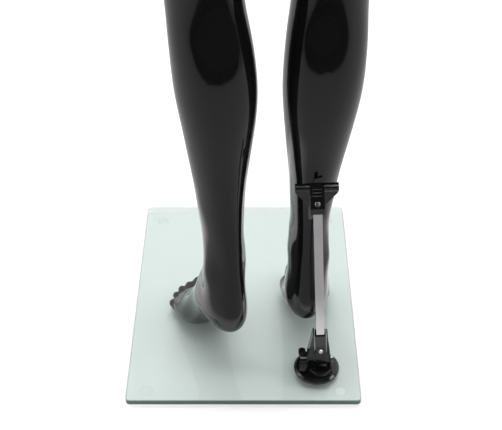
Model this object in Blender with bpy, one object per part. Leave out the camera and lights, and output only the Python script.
"""A full body display mannequin on a glass base, held up by a strut behind the right calf.

The figure is a set of hollow shells (head, torso, lower body with the right leg, left leg, arms, hands) that
plug together with twist-lock plates. The strut is a square tube between a hinged foot on the glass and a
bracket whose spigot enters a sleeve in the calf.

Metres, +Z up. The origin is on the floor in the middle of the object's bounding box, which is the midline of
the figure, and the figure faces -Y, so its left side is +X. Everything is laid out about the centre of the
glass's top face and hangs on an empty that stands there. A height called h is above the sole of the figure,
and f is how far forward a point is.
"""

import math
from typing import NamedTuple

import bmesh
import bpy
from mathutils import Matrix, Vector

MM = 0.001
GAP = 0.0003  # clearance between pieces that touch

# Base
BASE_WIDTH = 0.300
BASE_DEPTH = 0.400
BASE_CORNER = 0.006
GLASS_THICKNESS = 0.008
BUMPER_HEIGHT = 0.002
BUMPER_RADIUS = 0.008
BUMPER_INSET = 0.025
FLOOR = -GLASS_THICKNESS - BUMPER_HEIGHT
SOLE = GAP  # where the balls of the feet rest, just above the glass
SEAT_BACK_Y = 0.213  # the rearmost point of the object; the front edge of the glass is the foremost

# Figure
MIDLINE_X = -0.030
GLASS_CENTRE = Vector((-MIDLINE_X, (BASE_DEPTH / 2 - SEAT_BACK_Y) / 2, -FLOOR))
TRUNK_Y = 0.095
HIP_HALF_SPACING = 0.085
WALL = 0.0035
BULKHEAD = 0.005
SEAM = 0.0004
ANKLE_H, KNEE_H, HIP_H = 0.200, 0.555, 0.870
WAIST_CUT_H = 1.125
NECK_CUT_H = 1.500
LEG_CUT_H = 0.825
SHOULDER_H = 1.405
SHOULDER_X = 0.166
SHOULDER_CUT_X = 0.146
SHOULDER_CUT_TILT = math.radians(5)
ARM_ABDUCTION = math.radians(8)
FOREARM_BEND = 0.22  # forward run of the forearm for each metre down
ELBOW_DROP = 0.280
WRIST_DROP = 0.512

# Strut. Its foot, hinge and bracket are laid out in its own directions: X is to the figure's left, Y is
# backwards and Z runs up along the tube.
DISC_X, DISC_Y = -0.0950, 0.1445
DISC_RADIUS = 0.0295
DISC_THICKNESS = 0.006
GASKET_THICKNESS = 0.001
DISC_BASE = GASKET_THICKNESS
HINGE = Vector((-0.0999, 0.1475, DISC_BASE + 0.020))
STRUT_TOP = Vector((-0.0868, 0.1560, 0.2720))
PIN_RADIUS = 0.0030
FORK_INNER = 0.0077
FORK_DEPTH = 0.0130
LEFT_CHEEK = 0.0175
RIGHT_CHEEK = 0.0125
CHEEK_TOP = 0.052
CHEEK_FOOT = -0.0145
CHEEK_TIP = 0.0015  # how thick a cheek is at its top
SOCKET_TOP = 0.0490
SOCKET_SIDE = 0.0140
TUBE_SIDE = 0.0105
TUBE_WALL = 0.0012
TUBE_START = 0.009
TUBE_IN_BRACKET = 0.0075
BRACKET_SIDE = 0.0165
SLOPE_START = 0.0080
SLOPE_TOP = 0.0062
WING_REACH = 0.025
WING_HEIGHT = 0.0260
ROLL_RADIUS = 0.0052
SPIGOT_RADIUS = 0.0055
SPIGOT_SLOPE = math.radians(35)
SPIGOT_LENGTH = 0.034
SPIGOT_ROOT = 0.011
SPIGOT_HEIGHT = 0.265
SPIGOT_BACK = 0.0380  # the calf's surface is this far behind the leg's axis there
SLEEVE_RADIUS = 0.0085
PAD_THICKNESS = 0.002

BLACK_GLOSS = ("black_gloss", (0.012, 0.013, 0.013), 0.08, 0.0)
BLACK_PLASTIC = ("black_plastic", (0.010, 0.011, 0.011), 0.18, 0.0)
CLEAR_GLASS = ("clear_glass", (0.75, 0.88, 0.84), 0.02, 0.0)
CLEAR_RUBBER = ("clear_rubber", (0.82, 0.85, 0.84), 0.45, 0.0)
SATIN_ALUMINIUM = ("satin_aluminium", (0.62, 0.62, 0.63), 0.35, 1.0)
BRIGHT_STEEL = ("bright_steel", (0.72, 0.72, 0.72), 0.22, 1.0)
BLACK_RUBBER = ("black_rubber", (0.020, 0.020, 0.020), 0.70, 0.0)


class Section(NamedTuple):
    """One closed cross-section, in millimetres. front and back are (f, h) points, outer and inner are the
    half widths away from and towards the midline, and egg narrows the front and widens the back."""

    front: tuple
    back: tuple
    outer: float
    inner: float
    egg: float = 0.0


def level(h, front, back, outer, inner=None, egg=0.0):
    """A horizontal section at height h."""
    return Section((front, h), (back, h), outer, outer if inner is None else inner, egg)


FOOT = [
    Section((127, 19), (122, 4), 22, 30, 0.1),
    Section((114, 31), (108, 1), 29, 35, 0.1),
    Section((98, 42), (87, 0), 33, 35.5, 0.15),
    Section((82, 58), (62, 8), 32.5, 32, 0.18),
    Section((67, 82), (40, 35), 28.5, 28.5, 0.22),
    Section((54, 109), (14, 63), 26.5, 27, 0.26),
    Section((44, 135), (-12, 79), 28, 27, 0.28),
    Section((36, 158), (-38, 81), 27.5, 27, 0.24),
    Section((31, 180), (-49, 101), 26.5, 25, 0.15),
    Section((29, 196), (-47, 136), 25.5, 24, 0.12),
    Section((29, 211), (-40, 169), 24.5, 24.5, 0.10),
    Section((30, 226), (-35, 204), 24.5, 24, 0.06),
]
SHANK_AND_THIGH = [
    level(245, 31, -35.5, 27, 26.5, 0.05),
    level(280, 33, -40, 30, 29.5, 0.08),
    level(325, 36, -49, 35.5, 34.5, 0.10),
    level(370, 40, -60, 41, 39.5, 0.12),
    level(410, 44, -66.5, 45, 43, 0.12),
    level(445, 46.5, -67.5, 45.5, 43.5, 0.12),
    level(480, 49, -62, 44, 42.5, 0.10),
    level(515, 52, -55, 42, 41, 0.04),
    level(555, 57, -53, 45, 44.5, 0.0),
    level(600, 57, -57, 49, 49, 0.0),
    level(670, 62, -64, 58.5, 58, 0.0),
    level(745, 69, -71, 68, 66, 0.0),
    level(820, 75, -78, 76, 73, 0.0),
    level(870, 77, -84, 77, 74, 0.0),
    level(925, 66, -78, 64, 66, 0.0),
]
LEG = FOOT + SHANK_AND_THIGH

TRUNK = [
    level(862, 40, -48, 40),
    level(882, 66, -80, 112),
    level(904, 76, -95, 150),
    level(930, 82, -104, 163),
    level(962, 84, -107, 165),
    level(1002, 83, -101, 157),
    level(1045, 80, -91, 139),
    level(1085, 76, -83, 121),
    level(1125, 73, -78, 112),
    level(1165, 75, -78, 112),
    level(1210, 83, -83, 118),
    level(1260, 91, -91, 126),
    level(1310, 94, -99, 132),
    level(1355, 89, -104, 138),
    level(1395, 77, -103, 143),
    level(1425, 61, -96, 134),
    level(1446, 45, -86, 112),
    level(1463, 33, -76, 80),
    level(1483, 28, -66, 55),
    level(1505, 28, -59, 49),
    level(1535, 34, -53, 47),
    level(1565, 42, -48, 46),
]
HEAD = [
    level(1533, 90, 60, 15),
    level(1540, 97, 30, 27),
    level(1556, 99, -14, 42),
    level(1580, 98, -52, 55),
    level(1610, 97, -76, 64),
    level(1640, 96, -87, 70),
    level(1668, 93, -89, 73),
    level(1692, 85, -82, 70),
    level(1712, 71, -69, 60),
    level(1728, 47, -47, 42),
    level(1737, 22, -23, 21),
    level(1740, 7, -8, 7),
]

# The arm's heights are above the centre of the shoulder, before the arm is swung out and bent.
ARM = [
    level(50, 14, -16, 14, 24),
    level(42, 32, -34, 30, 36),
    level(18, 46, -48, 43, 44),
    level(-25, 48, -50, 46, 41),
    level(-80, 44, -45, 43, 34),
    level(-150, 40, -40, 39, 34),
    level(-220, 37, -37, 36, 34),
    level(-280, 35, -35, 35, 34),
    level(-325, 37, -35, 36, 35),
    level(-380, 34, -32, 32, 31),
    level(-440, 28, -27, 25, 24),
    level(-490, 25, -24, 19, 19),
    level(-512, 26, -25, 18, 18),
    level(-535, 29, -28, 17, 16),
    level(-565, 36, -34, 15.5, 15),
    level(-598, 39, -36, 14, 13.5),
    level(-618, 38, -35, 12, 11.5),
    level(-628, 33, -30, 8.5, 8.5),
]


class Digit(NamedTuple):
    """A finger or a toe, in millimetres: where its axis starts and ends, and its radii."""

    start: tuple
    end: tuple
    root: float
    tip: float


# Toes run in (lateral, f, h) of the foot; big toe first.
TOES = [
    Digit((-20, 106, 16), (-19, 138, 11.5), 13.0, 10.5),
    Digit((-5, 108, 13), (-6, 140, 8.5), 9.5, 7.2),
    Digit((6, 106, 12.5), (5.5, 138, 8), 9.0, 6.8),
    Digit((15, 101, 12), (16, 132, 7.5), 8.5, 6.5),
    Digit((23, 94, 11.5), (25, 121, 7.5), 8.0, 6.3),
]
# Fingers run in (lateral, f, h) of the arm; index finger first and thumb last.
FINGERS = [
    Digit((0, 29, -610), (-9, 34, -690), 9.0, 6.5),
    Digit((0, 10, -612), (-11, 12, -699), 9.2, 6.7),
    Digit((0, -9, -612), (-11, -10, -693), 8.8, 6.4),
    Digit((0, -25, -608), (-9, -31, -672), 8.0, 5.8),
    Digit((-5, 24, -548), (-17, 52, -622), 12.5, 8.0),
]


class Leg(NamedTuple):
    """Where one leg stands: side is +1 for the left, points are (x, y), turn is the toe-out angle, and
    foot_shift moves the foot in x from under the ankle."""

    side: int
    ankle: tuple
    knee: tuple
    foot_turn: float
    hip_turn: float
    foot_shift: float


LEGS = {
    "left": Leg(1, (0.0220, 0.1235), (0.0415, 0.098), math.radians(23), math.radians(8), 0.0050),
    "right": Leg(-1, (-0.0815, 0.0965), (-0.0965, 0.089), math.radians(3), math.radians(3), 0.001),
}


def smoothstep(value, low, high):
    t = min(max((value - low) / (high - low), 0.0), 1.0)
    return t * t * (3 - 2 * t)


def leg_place(leg):
    """Takes a point (lateral, f, h) of the leg to the world. Its axis is a parabola through three points."""
    hip = (MIDLINE_X + leg.side * HIP_HALF_SPACING, TRUNK_Y)

    def axis(h, k):
        h = max(h, ANKLE_H)
        a = leg.ankle[k] * (h - KNEE_H) * (h - HIP_H) / ((ANKLE_H - KNEE_H) * (ANKLE_H - HIP_H))
        b = leg.knee[k] * (h - ANKLE_H) * (h - HIP_H) / ((KNEE_H - ANKLE_H) * (KNEE_H - HIP_H))
        c = hip[k] * (h - ANKLE_H) * (h - KNEE_H) / ((HIP_H - ANKLE_H) * (HIP_H - KNEE_H))
        return a + b + c

    def place(lateral, f, h):
        turn = leg.foot_turn + (leg.hip_turn - leg.foot_turn) * smoothstep(h, KNEE_H, HIP_H)
        shift = leg.foot_shift * (1 - smoothstep(h, 0.09, ANKLE_H))
        x = axis(h, 0) + shift + leg.side * (lateral * math.cos(turn) + f * math.sin(turn))
        y = axis(h, 1) + lateral * math.sin(turn) - f * math.cos(turn)
        return Vector((x, y, SOLE + h))

    return place


def trunk_place(lateral, f, h):
    return Vector((MIDLINE_X + lateral, TRUNK_Y - f, SOLE + h))


def shoulder_centre(side):
    return trunk_place(side * SHOULDER_X, -0.012, SHOULDER_H)


def arm_place(side):
    """Takes a point (lateral, f, h) of the straight arm to its place, bent at the elbow and swung out."""
    swing = Matrix.Rotation(-side * ARM_ABDUCTION, 3, "Y")

    def place(lateral, f, h):
        below_elbow = max(-h - ELBOW_DROP, 0.0)
        bend = FOREARM_BEND * (math.sqrt(below_elbow**2 + 0.02**2) - 0.02)
        return shoulder_centre(side) + swing @ Vector((side * lateral, -f - bend, h))

    return place


def section_points(section, segments, inset=0.0):
    """The points (lateral, f, h) around a section, in metres, moved in by inset."""
    front, back = Vector(section.front) * MM, Vector(section.back) * MM
    middle, reach = (front + back) / 2, (front - back) / 2
    reach *= 1 - inset / reach.length
    points = []
    for i in range(segments):
        angle = math.tau * i / segments
        c, s = math.cos(angle), math.sin(angle)
        half = (section.outer if s > 0 else section.inner) * MM - inset
        lateral = s * half * (1 - section.egg * c)
        f, h = middle + reach * c
        points.append((lateral, f, h))
    return points


def new_object(name, mesh, collection):
    obj = bpy.data.objects.new(name, mesh)
    collection.objects.link(obj)
    return obj


def skin_rings(name, rings):
    """A closed mesh through rings of world points."""
    bm = bmesh.new()
    loops = [[bm.verts.new(point) for point in ring] for ring in rings]
    for lower, upper in zip(loops, loops[1:]):
        for i in range(len(lower)):
            j = (i + 1) % len(lower)
            bm.faces.new((lower[i], lower[j], upper[j], upper[i]))
    bm.faces.new(loops[0])
    bm.faces.new(loops[-1])
    bmesh.ops.recalc_face_normals(bm, faces=bm.faces)
    mesh = bpy.data.meshes.new(name)
    bm.to_mesh(mesh)
    bm.free()
    return new_object(name, mesh, HELPERS)


def loft(name, sections, place, segments, inset=0.0):
    rings = []
    for section in sections:
        rings.append([place(*point) for point in section_points(section, segments, inset)])
    return skin_rings(name, rings)


def digit(name, shape, place, segments=8):
    """A finger or toe: a tapered tube with a rounded end, bent evenly by place."""
    start, end = Vector(shape.start) * MM, Vector(shape.end) * MM
    along = (end - start).normalized()
    across = along.orthogonal().normalized()
    other = along.cross(across)
    length = (end - start).length
    rings = []
    for share, width in ((0.0, 1.0), (0.5, 1.0), (0.85, 1.0), (1.0, 1.0), (1.0, 0.86), (1.0, 0.5)):
        radius = (shape.root + (shape.tip - shape.root) * share) * MM
        overrun = radius * math.sqrt(1 - width * width)
        centre = start + along * (length * share + overrun)
        ring = []
        for i in range(segments):
            angle = math.tau * i / segments
            point = centre + (across * math.cos(angle) + other * math.sin(angle)) * radius * width
            ring.append(place(*point))
        rings.append(ring)
    return skin_rings(name, rings)


def ball(name, centre, radii, segments=20):
    """An ellipsoid from a UV sphere."""
    bm = bmesh.new()
    bmesh.ops.create_uvsphere(bm, u_segments=segments, v_segments=segments // 2, radius=1.0)
    bm.transform(Matrix.Translation(centre) @ Matrix.Diagonal((*radii, 1.0)))
    mesh = bpy.data.meshes.new(name)
    bm.to_mesh(mesh)
    bm.free()
    return new_object(name, mesh, HELPERS)


def block(name, size, matrix=None):
    """A box of that size, centred, then moved by matrix."""
    bm = bmesh.new()
    bmesh.ops.create_cube(bm, size=1.0)
    bm.transform((matrix or Matrix.Identity(4)) @ Matrix.Diagonal((*size, 1.0)))
    mesh = bpy.data.meshes.new(name)
    bm.to_mesh(mesh)
    bm.free()
    return new_object(name, mesh, HELPERS)


def rod(name, radius, low, high, matrix=None, top_radius=None, segments=24):
    """A cylinder or cone along local Z from low to high, then moved by matrix."""
    bm = bmesh.new()
    bmesh.ops.create_cone(
        bm,
        cap_ends=True,
        segments=segments,
        radius1=radius,
        radius2=radius if top_radius is None else top_radius,
        depth=high - low,
    )
    bm.transform((matrix or Matrix.Identity(4)) @ Matrix.Translation((0, 0, (low + high) / 2)))
    mesh = bpy.data.meshes.new(name)
    bm.to_mesh(mesh)
    bm.free()
    return new_object(name, mesh, HELPERS)


def prism(name, outline, thickness, matrix):
    """A flat outline in local XY, thickened evenly about local Z, then moved by matrix."""
    bm = bmesh.new()
    face = bm.faces.new([bm.verts.new((x, y, -thickness / 2)) for x, y in outline])
    grown = bmesh.ops.extrude_face_region(bm, geom=[face])
    top = [v for v in grown["geom"] if isinstance(v, bmesh.types.BMVert)]
    bmesh.ops.translate(bm, verts=top, vec=(0, 0, thickness))
    bmesh.ops.recalc_face_normals(bm, faces=bm.faces)
    bm.transform(matrix)
    mesh = bpy.data.meshes.new(name)
    bm.to_mesh(mesh)
    bm.free()
    return new_object(name, mesh, HELPERS)


def bake(obj):
    """Replaces the object's mesh with its evaluated one."""
    bpy.context.view_layer.update()
    graph = bpy.context.evaluated_depsgraph_get()
    mesh = bpy.data.meshes.new_from_object(obj.evaluated_get(graph))
    obj.modifiers.clear()
    obj.data = mesh
    return obj


def moved(x, y, z):
    return Matrix.Translation((x, y, z))


def combine(obj, others, operation="UNION", solver="EXACT"):
    """Joins others to obj, or cuts them from it, and removes them."""
    for other in others:
        modifier = obj.modifiers.new(operation.lower(), "BOOLEAN")
        modifier.operation = operation
        modifier.solver = solver
        modifier.object = other
    bake(obj)
    for other in others:
        bpy.data.objects.remove(other)
    return obj


def copy_of(obj, name):
    return new_object(name, obj.data.copy(), HELPERS)


def keep_below(obj, point, normal):
    """Cuts the mesh by a plane, keeps the side that normal points away from, and closes the cut."""
    bm = bmesh.new()
    bm.from_mesh(obj.data)
    geometry = bm.verts[:] + bm.edges[:] + bm.faces[:]
    bmesh.ops.bisect_plane(bm, geom=geometry, dist=1e-7, plane_co=point, plane_no=normal, clear_outer=True)
    edges = [e for e in bm.edges if e.is_boundary]
    bmesh.ops.holes_fill(bm, edges=edges)
    bmesh.ops.recalc_face_normals(bm, faces=bm.faces)
    bm.to_mesh(obj.data)
    bm.free()
    return obj


def keep_island(obj, point):
    """Keeps only the connected piece that is nearest to point."""
    bm = bmesh.new()
    bm.from_mesh(obj.data)
    start = min(bm.verts, key=lambda v: (v.co - point).length)
    kept, edge_of_search = {start}, [start]
    while edge_of_search:
        vertex = edge_of_search.pop()
        for edge in vertex.link_edges:
            neighbour = edge.other_vert(vertex)
            if neighbour not in kept:
                kept.add(neighbour)
                edge_of_search.append(neighbour)
    bmesh.ops.delete(bm, geom=[v for v in bm.verts if v not in kept], context="VERTS")
    bm.to_mesh(obj.data)
    bm.free()
    return obj


def material_of(finish):
    name, colour, roughness, metallic = finish
    material = bpy.data.materials.get(name)
    if material is None:
        material = bpy.data.materials.new(name)
        material.use_nodes = True
        shader = material.node_tree.nodes["Principled BSDF"]
        shader.inputs["Base Color"].default_value = (*colour, 1.0)
        shader.inputs["Roughness"].default_value = roughness
        shader.inputs["Metallic"].default_value = metallic
    return material


def finish_part(obj, name, finish, smooth=True, pivot=None):
    """Names a helper, gives it a material and a pivot, and moves it into the model's collection."""
    obj.name = name
    obj.data.name = name
    obj.data.materials.clear()
    obj.data.materials.append(material_of(finish))
    if smooth:
        obj.data.shade_smooth()
        obj.data.set_sharp_from_angle(angle=math.radians(35))
    if pivot is not None:
        obj.data.transform(Matrix.Translation(-pivot))
        obj.location = pivot
    HELPERS.objects.unlink(obj)
    MODEL.objects.link(obj)
    obj.parent = GLASS_EMPTY
    return obj


def frame_at(point, z_axis, x_hint=Vector((1, 0, 0))):
    """A matrix with its origin at point, its Z along z_axis and its X as near x_hint as it can be."""
    z = z_axis.normalized()
    y = z.cross(x_hint).normalized()
    x = y.cross(z)
    rotation = Matrix((x, y, z)).transposed()
    return Matrix.Translation(point) @ rotation.to_4x4()


# ---------------------------------------------------------------- twist-lock plates


class Socket(NamedTuple):
    """A twist-lock: its centre, the direction from the slotted plate to the studded one, and their radius."""

    centre: Vector
    normal: Vector
    radius: float
    x_hint: Vector


PLATE_THICKNESS = 0.003


def socket_frame(socket):
    return frame_at(socket.centre, socket.normal, socket.x_hint)


def plate_pocket(socket, sign, depth):
    """The hole that a plate sits in. It starts beyond the seam and goes depth into the piece on that side."""
    low, high = sorted((-sign * 0.002, sign * depth))
    return rod("pocket", socket.radius + GAP, low, high, socket_frame(socket), segments=24)


def slotted_plate(name, socket):
    """The plate that the stud's head passes through and turns behind."""
    matrix = socket_frame(socket)
    face = -SEAM / 2
    plate = rod("plate", socket.radius, face - PLATE_THICKNESS, face, matrix, segments=24)
    hole = rod("hole", 0.24 * socket.radius, -0.01, 0.01, matrix)
    slot = block("slot", (1.36 * socket.radius, 0.46 * socket.radius, 0.02), matrix)
    combine(plate, [hole, slot], "DIFFERENCE")
    return finish_part(plate, name, BRIGHT_STEEL, pivot=socket.centre)


def studded_plate(name, socket):
    """The mating plate, with a neck and a bar head that stands across the slot when locked."""
    matrix = socket_frame(socket)
    face = SEAM / 2
    plate = rod("plate", socket.radius, face, face + PLATE_THICKNESS, matrix, segments=24)
    head_face = -SEAM / 2 - PLATE_THICKNESS - GAP
    head_depth = 0.12 * socket.radius
    neck = rod("neck", 0.19 * socket.radius, head_face - head_depth / 2, face + 0.001, matrix)
    head = block(
        "head",
        (0.40 * socket.radius, 1.24 * socket.radius, head_depth),
        matrix @ Matrix.Translation((0, 0, head_face - head_depth / 2)),
    )
    combine(plate, [neck, head])
    return finish_part(plate, name, BRIGHT_STEEL, pivot=socket.centre)


def shoulder_normal(side):
    """The outward normal of the shoulder's cut, which also points a little down."""
    return Vector((side * math.cos(SHOULDER_CUT_TILT), 0, -math.sin(SHOULDER_CUT_TILT)))


def wrist_socket(side):
    place = arm_place(side)
    centre = place(0, 0.0005, -WRIST_DROP)
    direction = place(0, 0.0005, -WRIST_DROP - 0.02) - centre
    return Socket(centre, direction.normalized(), 0.0125, Vector((0, 1, 0)))


def make_sockets():
    leg = leg_place(LEGS["left"])
    up, down = Vector((0, 0, 1)), Vector((0, 0, -1))
    across = Vector((1, 0, 0))
    sockets = {
        "neck": Socket(trunk_place(0, -0.0155, NECK_CUT_H), up, 0.028, across),
        "waist": Socket(trunk_place(0, -0.003, WAIST_CUT_H), up, 0.045, across),
        "left_hip": Socket(leg(0.002, -0.001, LEG_CUT_H), down, 0.040, across),
    }
    for side_name, side in (("left", 1), ("right", -1)):
        centre = trunk_place(side * SHOULDER_CUT_X, -0.014, SHOULDER_H)
        sockets[side_name + "_shoulder"] = Socket(centre, shoulder_normal(side), 0.030, Vector((0, 1, 0)))
        sockets[side_name + "_wrist"] = wrist_socket(side)
    return sockets


# ---------------------------------------------------------------- figure


def make_figure():
    """The whole outer form as one closed solid."""
    parts = [ball("breast", trunk_place(s * 0.062, 0.070, 1.287), (0.056, 0.050, 0.057), 16) for s in (-1, 1)]
    parts += [ball("seat", trunk_place(s * 0.070, -0.056, 0.925), (0.078, 0.062, 0.076), 16) for s in (-1, 1)]
    for leg in LEGS.values():
        place = leg_place(leg)
        foot = loft("leg", LEG, place, 20)
        combine(foot, [digit("toe", toe, place) for toe in TOES])
        parts.append(foot)
    for side in (-1, 1):
        place = arm_place(side)
        arm = loft("arm", ARM, place, 16)
        combine(arm, [digit("finger", finger, place) for finger in FINGERS])
        parts.append(arm)
    head = loft("head", HEAD, trunk_place, 20)
    nose = ball("nose", trunk_place(0, 0.096, 1.613), (0.011, 0.019, 0.026), 12)
    ears = [ball("ear", trunk_place(s * 0.070, -0.004, 1.622), (0.009, 0.016, 0.028), 12) for s in (-1, 1)]
    parts.append(combine(head, [nose] + ears))
    return combine(loft("figure", TRUNK, trunk_place, 26), parts)


def core(sections, place, segments=12):
    return loft("core", sections, place, segments, WALL)


def between(sections, low, high):
    """The sections whose middle height lies between two heights, in metres."""
    return [s for s in sections if low < (s.front[1] + s.back[1]) / 2 * MM < high]


def at_height(sections, place, h, segments, side_normal):
    """A core cut off flat at height h, on the side that side_normal points to."""
    solid = core(sections, place, segments)
    return keep_below(solid, Vector((0, 0, SOLE + h)), Vector((0, 0, side_normal)))


def make_shells(figure, sockets):
    """Cuts the figure at its seams, hollows each piece and sinks the plate pockets."""
    waist, neck, hip = sockets["waist"], sockets["neck"], sockets["left_hip"]
    through = BULKHEAD + 0.003

    def cut(obj, socket, away):
        """Keeps the slotted side (away = +1) or the studded side (away = -1) of a seam."""
        shift = socket.normal * (away * SEAM / 2)
        return keep_below(obj, socket.centre - shift, socket.normal * away)

    arms, hands = {}, {}
    body = copy_of(figure, "body")
    for side_name in ("left", "right"):
        shoulder, wrist = sockets[side_name + "_shoulder"], sockets[side_name + "_wrist"]
        arm = keep_island(cut(copy_of(figure, "arm"), shoulder, -1), wrist.centre)
        hand = cut(copy_of(arm, "hand"), wrist, -1)
        hands[side_name] = keep_island(hand, wrist.centre + wrist.normal * 0.1)
        arms[side_name] = keep_island(cut(arm, wrist, 1), shoulder.centre)
        matrix = socket_frame(shoulder) @ Matrix.Translation((0, 0, 0.15 - SEAM / 2))
        combine(body, [block("arm_box", (0.30, 0.26, 0.30), matrix)], "DIFFERENCE")
        keep_island(body, waist.centre)

    lower = cut(copy_of(body, "lower"), waist, 1)
    left_leg = keep_island(cut(copy_of(lower, "left_leg"), hip, -1), hip.centre - Vector((0, 0, 0.05)))
    rest = copy_of(lower, "rest")
    leg_box = block("leg_box", (0.4, 0.6, 1.2))
    seam_z = hip.centre.z + SEAM / 2
    divide_x = hip.centre.x - 0.088
    leg_box.data.transform(Matrix.Translation((divide_x + 0.2, TRUNK_Y, seam_z - 0.6)))
    combine(rest, [leg_box], "DIFFERENCE")
    bpy.data.objects.remove(lower)

    upper = cut(copy_of(body, "upper"), waist, -1)
    head = cut(copy_of(upper, "head"), neck, -1)
    cut(upper, neck, 1)
    bpy.data.objects.remove(body)

    # Hollows
    leg_core_sections = between(LEG, 0.23, 1.0)
    trunk_low = between(TRUNK, 0.90, 1.15)
    right_core = core(leg_core_sections, leg_place(LEGS["right"]))
    left_high = [s for s in LEG if s.back[1] > 730]
    left_stub = core(left_high, leg_place(LEGS["left"]))
    keep_below(left_stub, hip.centre + Vector((0, 0, BULKHEAD)), Vector((0, 0, -1)))
    pelvis_core = at_height(trunk_low, trunk_place, WAIST_CUT_H - BULKHEAD, 16, 1)
    combine(pelvis_core, [right_core, left_stub])
    combine(rest, [pelvis_core], "DIFFERENCE")
    combine(rest, [plate_pocket(waist, -1, through), plate_pocket(hip, -1, through)], "DIFFERENCE")

    left_core = at_height(leg_core_sections, leg_place(LEGS["left"]), LEG_CUT_H - BULKHEAD, 12, 1)
    combine(left_leg, [left_core, plate_pocket(hip, 1, through)], "DIFFERENCE")

    torso_core = at_height(between(TRUNK, 1.08, 1.53), trunk_place, NECK_CUT_H - BULKHEAD, 16, 1)
    keep_below(torso_core, waist.centre + Vector((0, 0, BULKHEAD)), Vector((0, 0, -1)))
    for side_name in ("left", "right"):
        shoulder = sockets[side_name + "_shoulder"]
        inner = shoulder.centre - shoulder.normal * BULKHEAD
        keep_below(torso_core, inner, shoulder.normal)
    pockets = [plate_pocket(waist, 1, through), plate_pocket(neck, -1, through)]
    pockets += [plate_pocket(sockets[s + "_shoulder"], -1, through) for s in ("left", "right")]
    combine(upper, [torso_core] + pockets, "DIFFERENCE")

    head_core = core(HEAD[2:-1], trunk_place)
    neck_core = at_height(TRUNK[-3:], trunk_place, NECK_CUT_H + BULKHEAD, 12, -1)
    combine(head_core, [neck_core])
    combine(head, [head_core, plate_pocket(neck, 1, through)], "DIFFERENCE")

    for side_name, side in (("left", 1), ("right", -1)):
        shoulder, wrist = sockets[side_name + "_shoulder"], sockets[side_name + "_wrist"]
        arm_core = core([s for s in ARM if -560 < s.front[1] < 30], arm_place(side), 10)
        keep_below(arm_core, shoulder.centre + shoulder.normal * BULKHEAD, -shoulder.normal)
        keep_below(arm_core, wrist.centre - wrist.normal * BULKHEAD, wrist.normal)
        pockets = [plate_pocket(shoulder, 1, through), plate_pocket(wrist, -1, through)]
        combine(arms[side_name], [arm_core] + pockets, "DIFFERENCE")
        combine(hands[side_name], [plate_pocket(wrist, 1, PLATE_THICKNESS + SEAM)], "DIFFERENCE")

    bpy.data.objects.remove(figure)
    shells = {"lower_body_shell": rest, "left_leg_shell": left_leg, "torso_shell": upper, "head_shell": head}
    for side_name in ("left", "right"):
        shells[side_name + "_arm_shell"] = arms[side_name]
        shells[side_name + "_hand"] = hands[side_name]
    return shells


# ---------------------------------------------------------------- base


def make_base():
    glass = block("glass", (BASE_WIDTH, BASE_DEPTH, GLASS_THICKNESS))
    glass.data.transform(Matrix.Translation((0, 0, -GLASS_THICKNESS / 2)))
    round_corners(glass, BASE_CORNER, 5, vertical=True)
    round_corners(glass, 0.0008, 1, vertical=False)
    bolt_hole = rod("bolt_hole", 0.0045, -0.01, 0.01, moved(DISC_X, DISC_Y, 0), segments=16)
    combine(glass, [bolt_hole], "DIFFERENCE")
    finish_part(glass, "glass_base", CLEAR_GLASS)

    for x, side_name in ((1, "left"), (-1, "right")):
        for y, end_name in ((-1, "front"), (1, "rear")):
            centre = Vector((x * (BASE_WIDTH / 2 - BUMPER_INSET), y * (BASE_DEPTH / 2 - BUMPER_INSET), FLOOR))
            matrix = Matrix.Translation(centre)
            narrow = BUMPER_RADIUS * 0.86
            bumper = rod("bumper", narrow, 0, BUMPER_HEIGHT - GAP / 6, matrix, BUMPER_RADIUS)
            finish_part(bumper, f"bumper_{end_name}_{side_name}", CLEAR_RUBBER, pivot=centre)


def round_corners(obj, radius, segments, vertical):
    """Bevels the upright edges, or the edges round the two faces."""
    bm = bmesh.new()
    bm.from_mesh(obj.data)
    edges = []
    for edge in bm.edges:
        a, b = (v.co for v in edge.verts)
        upright = abs((a - b).normalized().z) > 0.9
        flat_rim = abs(a.z - b.z) < 1e-6 and any(abs(f.normal.z) < 0.5 for f in edge.link_faces)
        if upright if vertical else flat_rim:
            edges.append(edge)
    bmesh.ops.bevel(bm, geom=edges, offset=radius, segments=segments, affect="EDGES", profile=0.5)
    bm.to_mesh(obj.data)
    bm.free()


# ---------------------------------------------------------------- strut

STRUT = frame_at(HINGE, STRUT_TOP - HINGE)
STRUT_LENGTH = (STRUT_TOP - HINGE).length
BRACKET = STRUT @ Matrix.Translation((0, 0, STRUT_LENGTH))
ALONG_PIN = Matrix.Rotation(math.pi / 2, 4, "Y")
FACING_BACK = Matrix.Rotation(-math.pi / 2, 4, "X")
UPRIGHT = Matrix.Rotation(math.pi / 2, 4, "X")  # stands an XY outline up in the XZ plane
FACE_LEFT = Matrix.Rotation(-math.pi / 2, 4, "Z") @ UPRIGHT  # the outline's X is then forward and its Y is up


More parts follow.
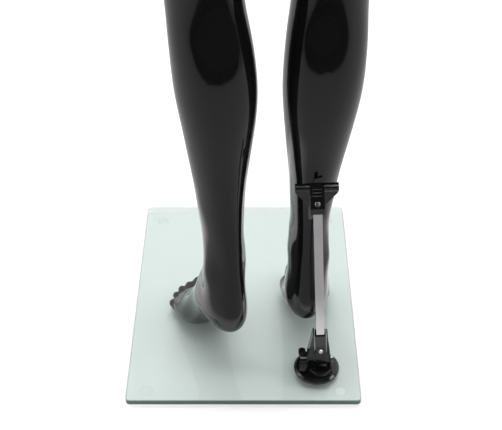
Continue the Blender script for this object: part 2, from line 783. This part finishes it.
def make_disc():
    """The round foot, screwed down through the glass, with a fork of two tapered cheeks."""
    place = moved(DISC_X, DISC_Y, DISC_BASE)
    rim = rod("rim", DISC_RADIUS, 0, 0.6 * DISC_THICKNESS, place, segments=36)
    crown = rod("crown", DISC_RADIUS, 0.55 * DISC_THICKNESS, DISC_THICKNESS, place, 0.0270, segments=36)
    boss_place = moved(HINGE.x, HINGE.y, DISC_BASE)
    boss = rod("boss", 0.0165, DISC_THICKNESS - 0.001, DISC_THICKNESS + 0.0028, boss_place, 0.0148)
    cheeks = []
    cheek_sizes = ((1, LEFT_CHEEK, 0.012, CHEEK_TOP), (-1, RIGHT_CHEEK, 0.006, CHEEK_TOP - 0.003))
    for side, outer, shoulder, top in cheek_sizes:
        outline = [(side * FORK_INNER, CHEEK_FOOT), (side * outer, CHEEK_FOOT), (side * outer, shoulder)]
        outline += [(side * (FORK_INNER + CHEEK_TIP), top), (side * FORK_INNER, top)]
        cheeks.append(prism("cheek", outline, FORK_DEPTH, STRUT @ UPRIGHT))
    combine(rim, [crown, boss] + cheeks)
    pin_hole = rod("pin_hole", PIN_RADIUS + GAP, -0.03, 0.03, STRUT @ ALONG_PIN)
    screw_hole = rod("screw_hole", 0.0034, -0.001, 0.0072, place, segments=16)
    combine(rim, [pin_hole, screw_hole], "DIFFERENCE")
    finish_part(rim, "base_disc", BLACK_PLASTIC, pivot=Vector((DISC_X, DISC_Y, DISC_BASE)))

    hole = rod("hole", 0.0045, -0.01, 0.01, place, segments=16)
    gasket = rod("gasket", DISC_RADIUS - 0.0015, GAP / 3 - GASKET_THICKNESS, -GAP / 3, place, segments=36)
    finish_part(combine(gasket, [hole], "DIFFERENCE"), "disc_gasket", BLACK_RUBBER)
    under = moved(DISC_X, DISC_Y, FLOOR)
    bolt = rod("bolt", 0.0030, 0.0012, DISC_BASE - FLOOR + 0.0060, under, segments=16)
    bolt_head = rod("bolt_head", 0.0050, GAP, 0.0014, under, 0.0062)
    slot = block("slot", (0.0070, 0.0010, 0.0010), under @ moved(0, 0, GAP))
    combine(bolt, [bolt_head])
    finish_part(combine(bolt, [slot], "DIFFERENCE"), "disc_bolt", BRIGHT_STEEL)
    washer = rod("washer", 0.0095, 0.0016, BUMPER_HEIGHT - GAP / 3, under)
    bore = rod("bore", 0.0034, -0.01, 0.01, under, segments=16)
    finish_part(combine(washer, [bore], "DIFFERENCE"), "bolt_washer", BLACK_RUBBER)


def make_hinge():
    """The pin through the fork, and the wing nut that locks it."""
    across = STRUT @ ALONG_PIN
    pin = rod("pin", PIN_RADIUS, -RIGHT_CHEEK - 0.001, LEFT_CHEEK + 0.0075, across, segments=16)
    head = rod("head", 0.0052, -RIGHT_CHEEK - 0.0032, -RIGHT_CHEEK - GAP, across, segments=6)
    combine(pin, [head])
    finish_part(pin, "hinge_pin", BRIGHT_STEEL, pivot=HINGE)

    start = LEFT_CHEEK + GAP
    hub = rod("hub", 0.0062, start, start + 0.0085, across, 0.0050)
    wing = [(-0.0045, 0.002), (-0.0058, 0.009), (-0.0040, 0.0150), (0.0, 0.0165)]
    wing += [(0.0040, 0.0150), (0.0045, 0.009), (0.0030, 0.002)]
    wings = []
    for half_turn in (0, math.pi):
        # A wing's outline runs along the pin in X and away from it in Y.
        lean = Matrix.Rotation(half_turn + math.radians(-20), 4, "X")
        wings.append(prism("wing", wing, 0.0032, STRUT @ lean @ moved(start + 0.0062, 0, 0)))
    bore = rod("bore", PIN_RADIUS + GAP / 2, 0, 0.04, across, segments=16)
    combine(combine(hub, wings), [bore], "DIFFERENCE")
    finish_part(hub, "hinge_wing_nut", BLACK_PLASTIC, pivot=HINGE)


def tube_well(matrix, low, high):
    """A square hole that clears the tube."""
    side = TUBE_SIDE + 2 * GAP
    return block("well", (side, side, high - low), matrix @ moved(0, 0, (low + high) / 2))


def round_head_screw(name, matrix, length):
    """A slotted screw: Z points out of its head, and the underside of the head is at zero."""
    shank = rod("shank", 0.0016, -length, 0.0005, matrix, segments=12)
    head = rod("head", 0.0031, GAP, 0.0016, matrix, 0.0026, segments=16)
    combine(shank, [head])
    slot = block("slot", (0.0080, 0.0008, 0.0010), matrix @ moved(0, 0, 0.0016))
    combine(shank, [slot], "DIFFERENCE")
    finish_part(shank, name, BRIGHT_STEEL, pivot=matrix.translation)


def make_socket():
    """The knuckle on the hinge that holds the foot of the tube."""
    half = SOCKET_SIDE / 2
    body = block("body", (SOCKET_SIDE, SOCKET_SIDE, SOCKET_TOP), STRUT @ moved(0, 0, SOCKET_TOP / 2))
    knuckle = rod("knuckle", half - 0.0002, -half - 0.0003, half + 0.0003, STRUT @ ALONG_PIN)
    combine(body, [knuckle])
    pin_hole = rod("pin_hole", PIN_RADIUS + GAP, -0.03, 0.03, STRUT @ ALONG_PIN, segments=16)
    screw = STRUT @ moved(0, half, 0.022) @ FACING_BACK
    thread = rod("thread", 0.0016 + GAP, -0.004, 0.002, screw, segments=12)
    combine(body, [tube_well(STRUT, TUBE_START - GAP, 0.06), pin_hole, thread], "DIFFERENCE")
    finish_part(body, "strut_socket", BLACK_PLASTIC, pivot=HINGE)
    round_head_screw("socket_screw", screw, half - TUBE_SIDE / 2 - 2 * GAP)


def make_tube():
    length = STRUT_LENGTH + TUBE_IN_BRACKET - TUBE_START
    matrix = STRUT @ moved(0, 0, TUBE_START + length / 2)
    tube = block("tube", (TUBE_SIDE, TUBE_SIDE, length), matrix)
    hollow = TUBE_SIDE - 2 * TUBE_WALL
    combine(tube, [block("bore", (hollow, hollow, length + 0.01), matrix)], "DIFFERENCE")
    finish_part(tube, "strut_tube", SATIN_ALUMINIUM, smooth=False, pivot=HINGE)


def right_calf(offset):
    """The back of the right calf, grown outwards by offset."""
    return loft("calf", between(LEG, 0.20, 0.45), leg_place(LEGS["right"]), 20, -offset)


def spigot_frame():
    """Z runs along the spigot, up and forward into the calf, from the calf's surface."""
    axis = Vector((0, -math.cos(SPIGOT_SLOPE), math.sin(SPIGOT_SLOPE)))
    return frame_at(leg_place(LEGS["right"])(0.001, -SPIGOT_BACK, SPIGOT_HEIGHT), axis)


def saddle_block():
    """The solid that slopes down from the bracket into the calf, before either is cut to fit the other."""
    side_on = [(0.0050, 0.0240), (0.0100, 0.0220), (0.0330, -0.0035), (0.0330, -0.0240), (0.0120, -0.0240)]
    side_on += [(0.0060, 0.0020), (0.0050, 0.0040)]
    return prism("saddle", side_on, 0.0210, BRACKET @ FACE_LEFT)


def make_bracket():
    """The clip behind the calf: a socket for the tube that spreads into two wings and a saddle."""
    half = BRACKET_SIDE / 2
    # The body's back face leans forward above the tube.
    side_on = [(-half, 0), (half, 0), (half, 0.0335), (SLOPE_TOP, 0.0335), (-half, SLOPE_START)]
    body = prism("body", side_on, BRACKET_SIDE, BRACKET @ FACE_LEFT)
    reach = WING_REACH - 0.001
    web = [(0.0006 - half, 0.0010), (half - 0.0006, 0.0010), (reach, 0.0205), (reach, WING_HEIGHT)]
    web += [(-reach, WING_HEIGHT), (-reach, 0.0205)]
    wings = prism("web", web, 0.0060, BRACKET @ moved(0, -0.0080, 0) @ UPRIGHT)
    roll_place = BRACKET @ moved(0, -0.0090, WING_HEIGHT) @ ALONG_PIN
    roll = rod("roll", ROLL_RADIUS, -WING_REACH, WING_REACH, roll_place, segments=16)
    tongue = [(-0.0060, 0.029), (0.0050, 0.029), (0.0015, 0.0385), (-0.0065, 0.0405)]
    tongue = prism("tongue", tongue, 0.0040, BRACKET @ moved(0, -0.0110, 0) @ UPRIGHT)
    combine(body, [wings, roll, tongue, saddle_block()])
    button_size = (0.0130 + 2 * GAP, 0.0120 + 2 * GAP, 0.0070)
    button_hole = block("button_hole", button_size, slope_frame(0.0255))
    screw = slope_frame(0.0130)
    thread = rod("thread", 0.0016 + GAP, -0.0045, 0.002, screw, segments=12)
    spigot_hole = rod("spigot_hole", SPIGOT_RADIUS + GAP, -SPIGOT_ROOT - GAP, 0.05, spigot_frame())
    well = tube_well(BRACKET, -0.01, TUBE_IN_BRACKET + GAP)
    cutters = [well, button_hole, thread, right_calf(PAD_THICKNESS + 2 * GAP), spigot_hole]
    combine(body, cutters, "DIFFERENCE", "MANIFOLD")
    keep_island(body, BRACKET @ Vector((half, half, 0)))
    finish_part(body, "calf_bracket", BLACK_PLASTIC, pivot=BRACKET.translation)
    round_head_screw("bracket_screw", screw, 0.0040)

    pad = combine(saddle_block(), [right_calf(PAD_THICKNESS + GAP)], "INTERSECT")
    hole = rod("hole", SPIGOT_RADIUS + GAP, -0.05, 0.05, spigot_frame())
    combine(pad, [right_calf(GAP), hole], "DIFFERENCE")
    keep_island(pad, spigot_frame() @ Vector((SPIGOT_RADIUS, 0, 0)))
    finish_part(pad, "saddle_pad", BLACK_RUBBER, pivot=BRACKET.translation)


def slope_frame(height):
    """A point on the bracket's sloping back face at that height, with Z out of it and Y up it."""
    half = BRACKET_SIDE / 2
    share = (height - SLOPE_START) / (0.0335 - SLOPE_START)
    point = Vector((0, half - (half + SLOPE_TOP) * share, height))
    lean = math.atan2(half + SLOPE_TOP, 0.0335 - SLOPE_START)
    return BRACKET @ Matrix.Translation(point) @ Matrix.Rotation(lean, 4, "X") @ FACING_BACK


def make_button():
    """The ribbed button in the back of the bracket that frees the spigot."""
    matrix = slope_frame(0.0255)
    button = block("button", (0.0130, 0.0120, 0.0026), matrix @ moved(0, 0, -0.0003))
    ribs = []
    for y in (-0.0038, 0, 0.0038):
        rib_place = matrix @ moved(0, y, 0.0011) @ ALONG_PIN
        ribs.append(rod("rib", 0.0012, -0.0054, 0.0054, rib_place, segments=12))
    combine(button, ribs)
    finish_part(button, "release_button", BLACK_PLASTIC, pivot=matrix.translation)


def make_spigot_and_sleeve(lower_body):
    matrix = spigot_frame()
    spigot = rod("spigot", SPIGOT_RADIUS, -SPIGOT_ROOT, SPIGOT_LENGTH - 0.004, matrix)
    nose = rod("nose", SPIGOT_RADIUS, SPIGOT_LENGTH - 0.0045, SPIGOT_LENGTH, matrix, 0.0035)
    finish_part(combine(spigot, [nose]), "calf_spigot", BRIGHT_STEEL, pivot=matrix.translation)

    deep = SPIGOT_LENGTH + 0.004
    hole = rod("hole", SLEEVE_RADIUS + GAP, -0.03, deep + GAP, matrix)
    combine(lower_body, [hole], "DIFFERENCE")
    sleeve = rod("sleeve", SLEEVE_RADIUS, -0.03, deep, matrix)
    combine(sleeve, [right_calf(-GAP)], "INTERSECT")
    bore = rod("bore", SPIGOT_RADIUS + GAP, -0.04, deep + 0.01, matrix)
    combine(sleeve, [bore], "DIFFERENCE")
    keep_island(sleeve, matrix @ Vector((SLEEVE_RADIUS, 0, 0.02)))
    finish_part(sleeve, "calf_sleeve", BRIGHT_STEEL, pivot=matrix.translation)


# ---------------------------------------------------------------- build

for old in list(bpy.data.objects):
    bpy.data.objects.remove(old)
MODEL = bpy.data.collections.new("display_mannequin")
HELPERS = bpy.data.collections.new("cutters")
for made in (MODEL, HELPERS):
    bpy.context.scene.collection.children.link(made)
GLASS_EMPTY = bpy.data.objects.new("glass_centre", None)
GLASS_EMPTY.location = GLASS_CENTRE
MODEL.objects.link(GLASS_EMPTY)

SOCKETS = make_sockets()
SHELLS = make_shells(make_figure(), SOCKETS)
make_base()
make_disc()
make_hinge()
make_socket()
make_tube()
make_bracket()
make_button()
make_spigot_and_sleeve(SHELLS["lower_body_shell"])
for socket_name, socket_shape in SOCKETS.items():
    slotted_plate(socket_name + "_slotted_plate", socket_shape)
    studded_plate(socket_name + "_studded_plate", socket_shape)
for shell_name, shell in SHELLS.items():
    finish_part(shell, shell_name, BLACK_GLOSS)
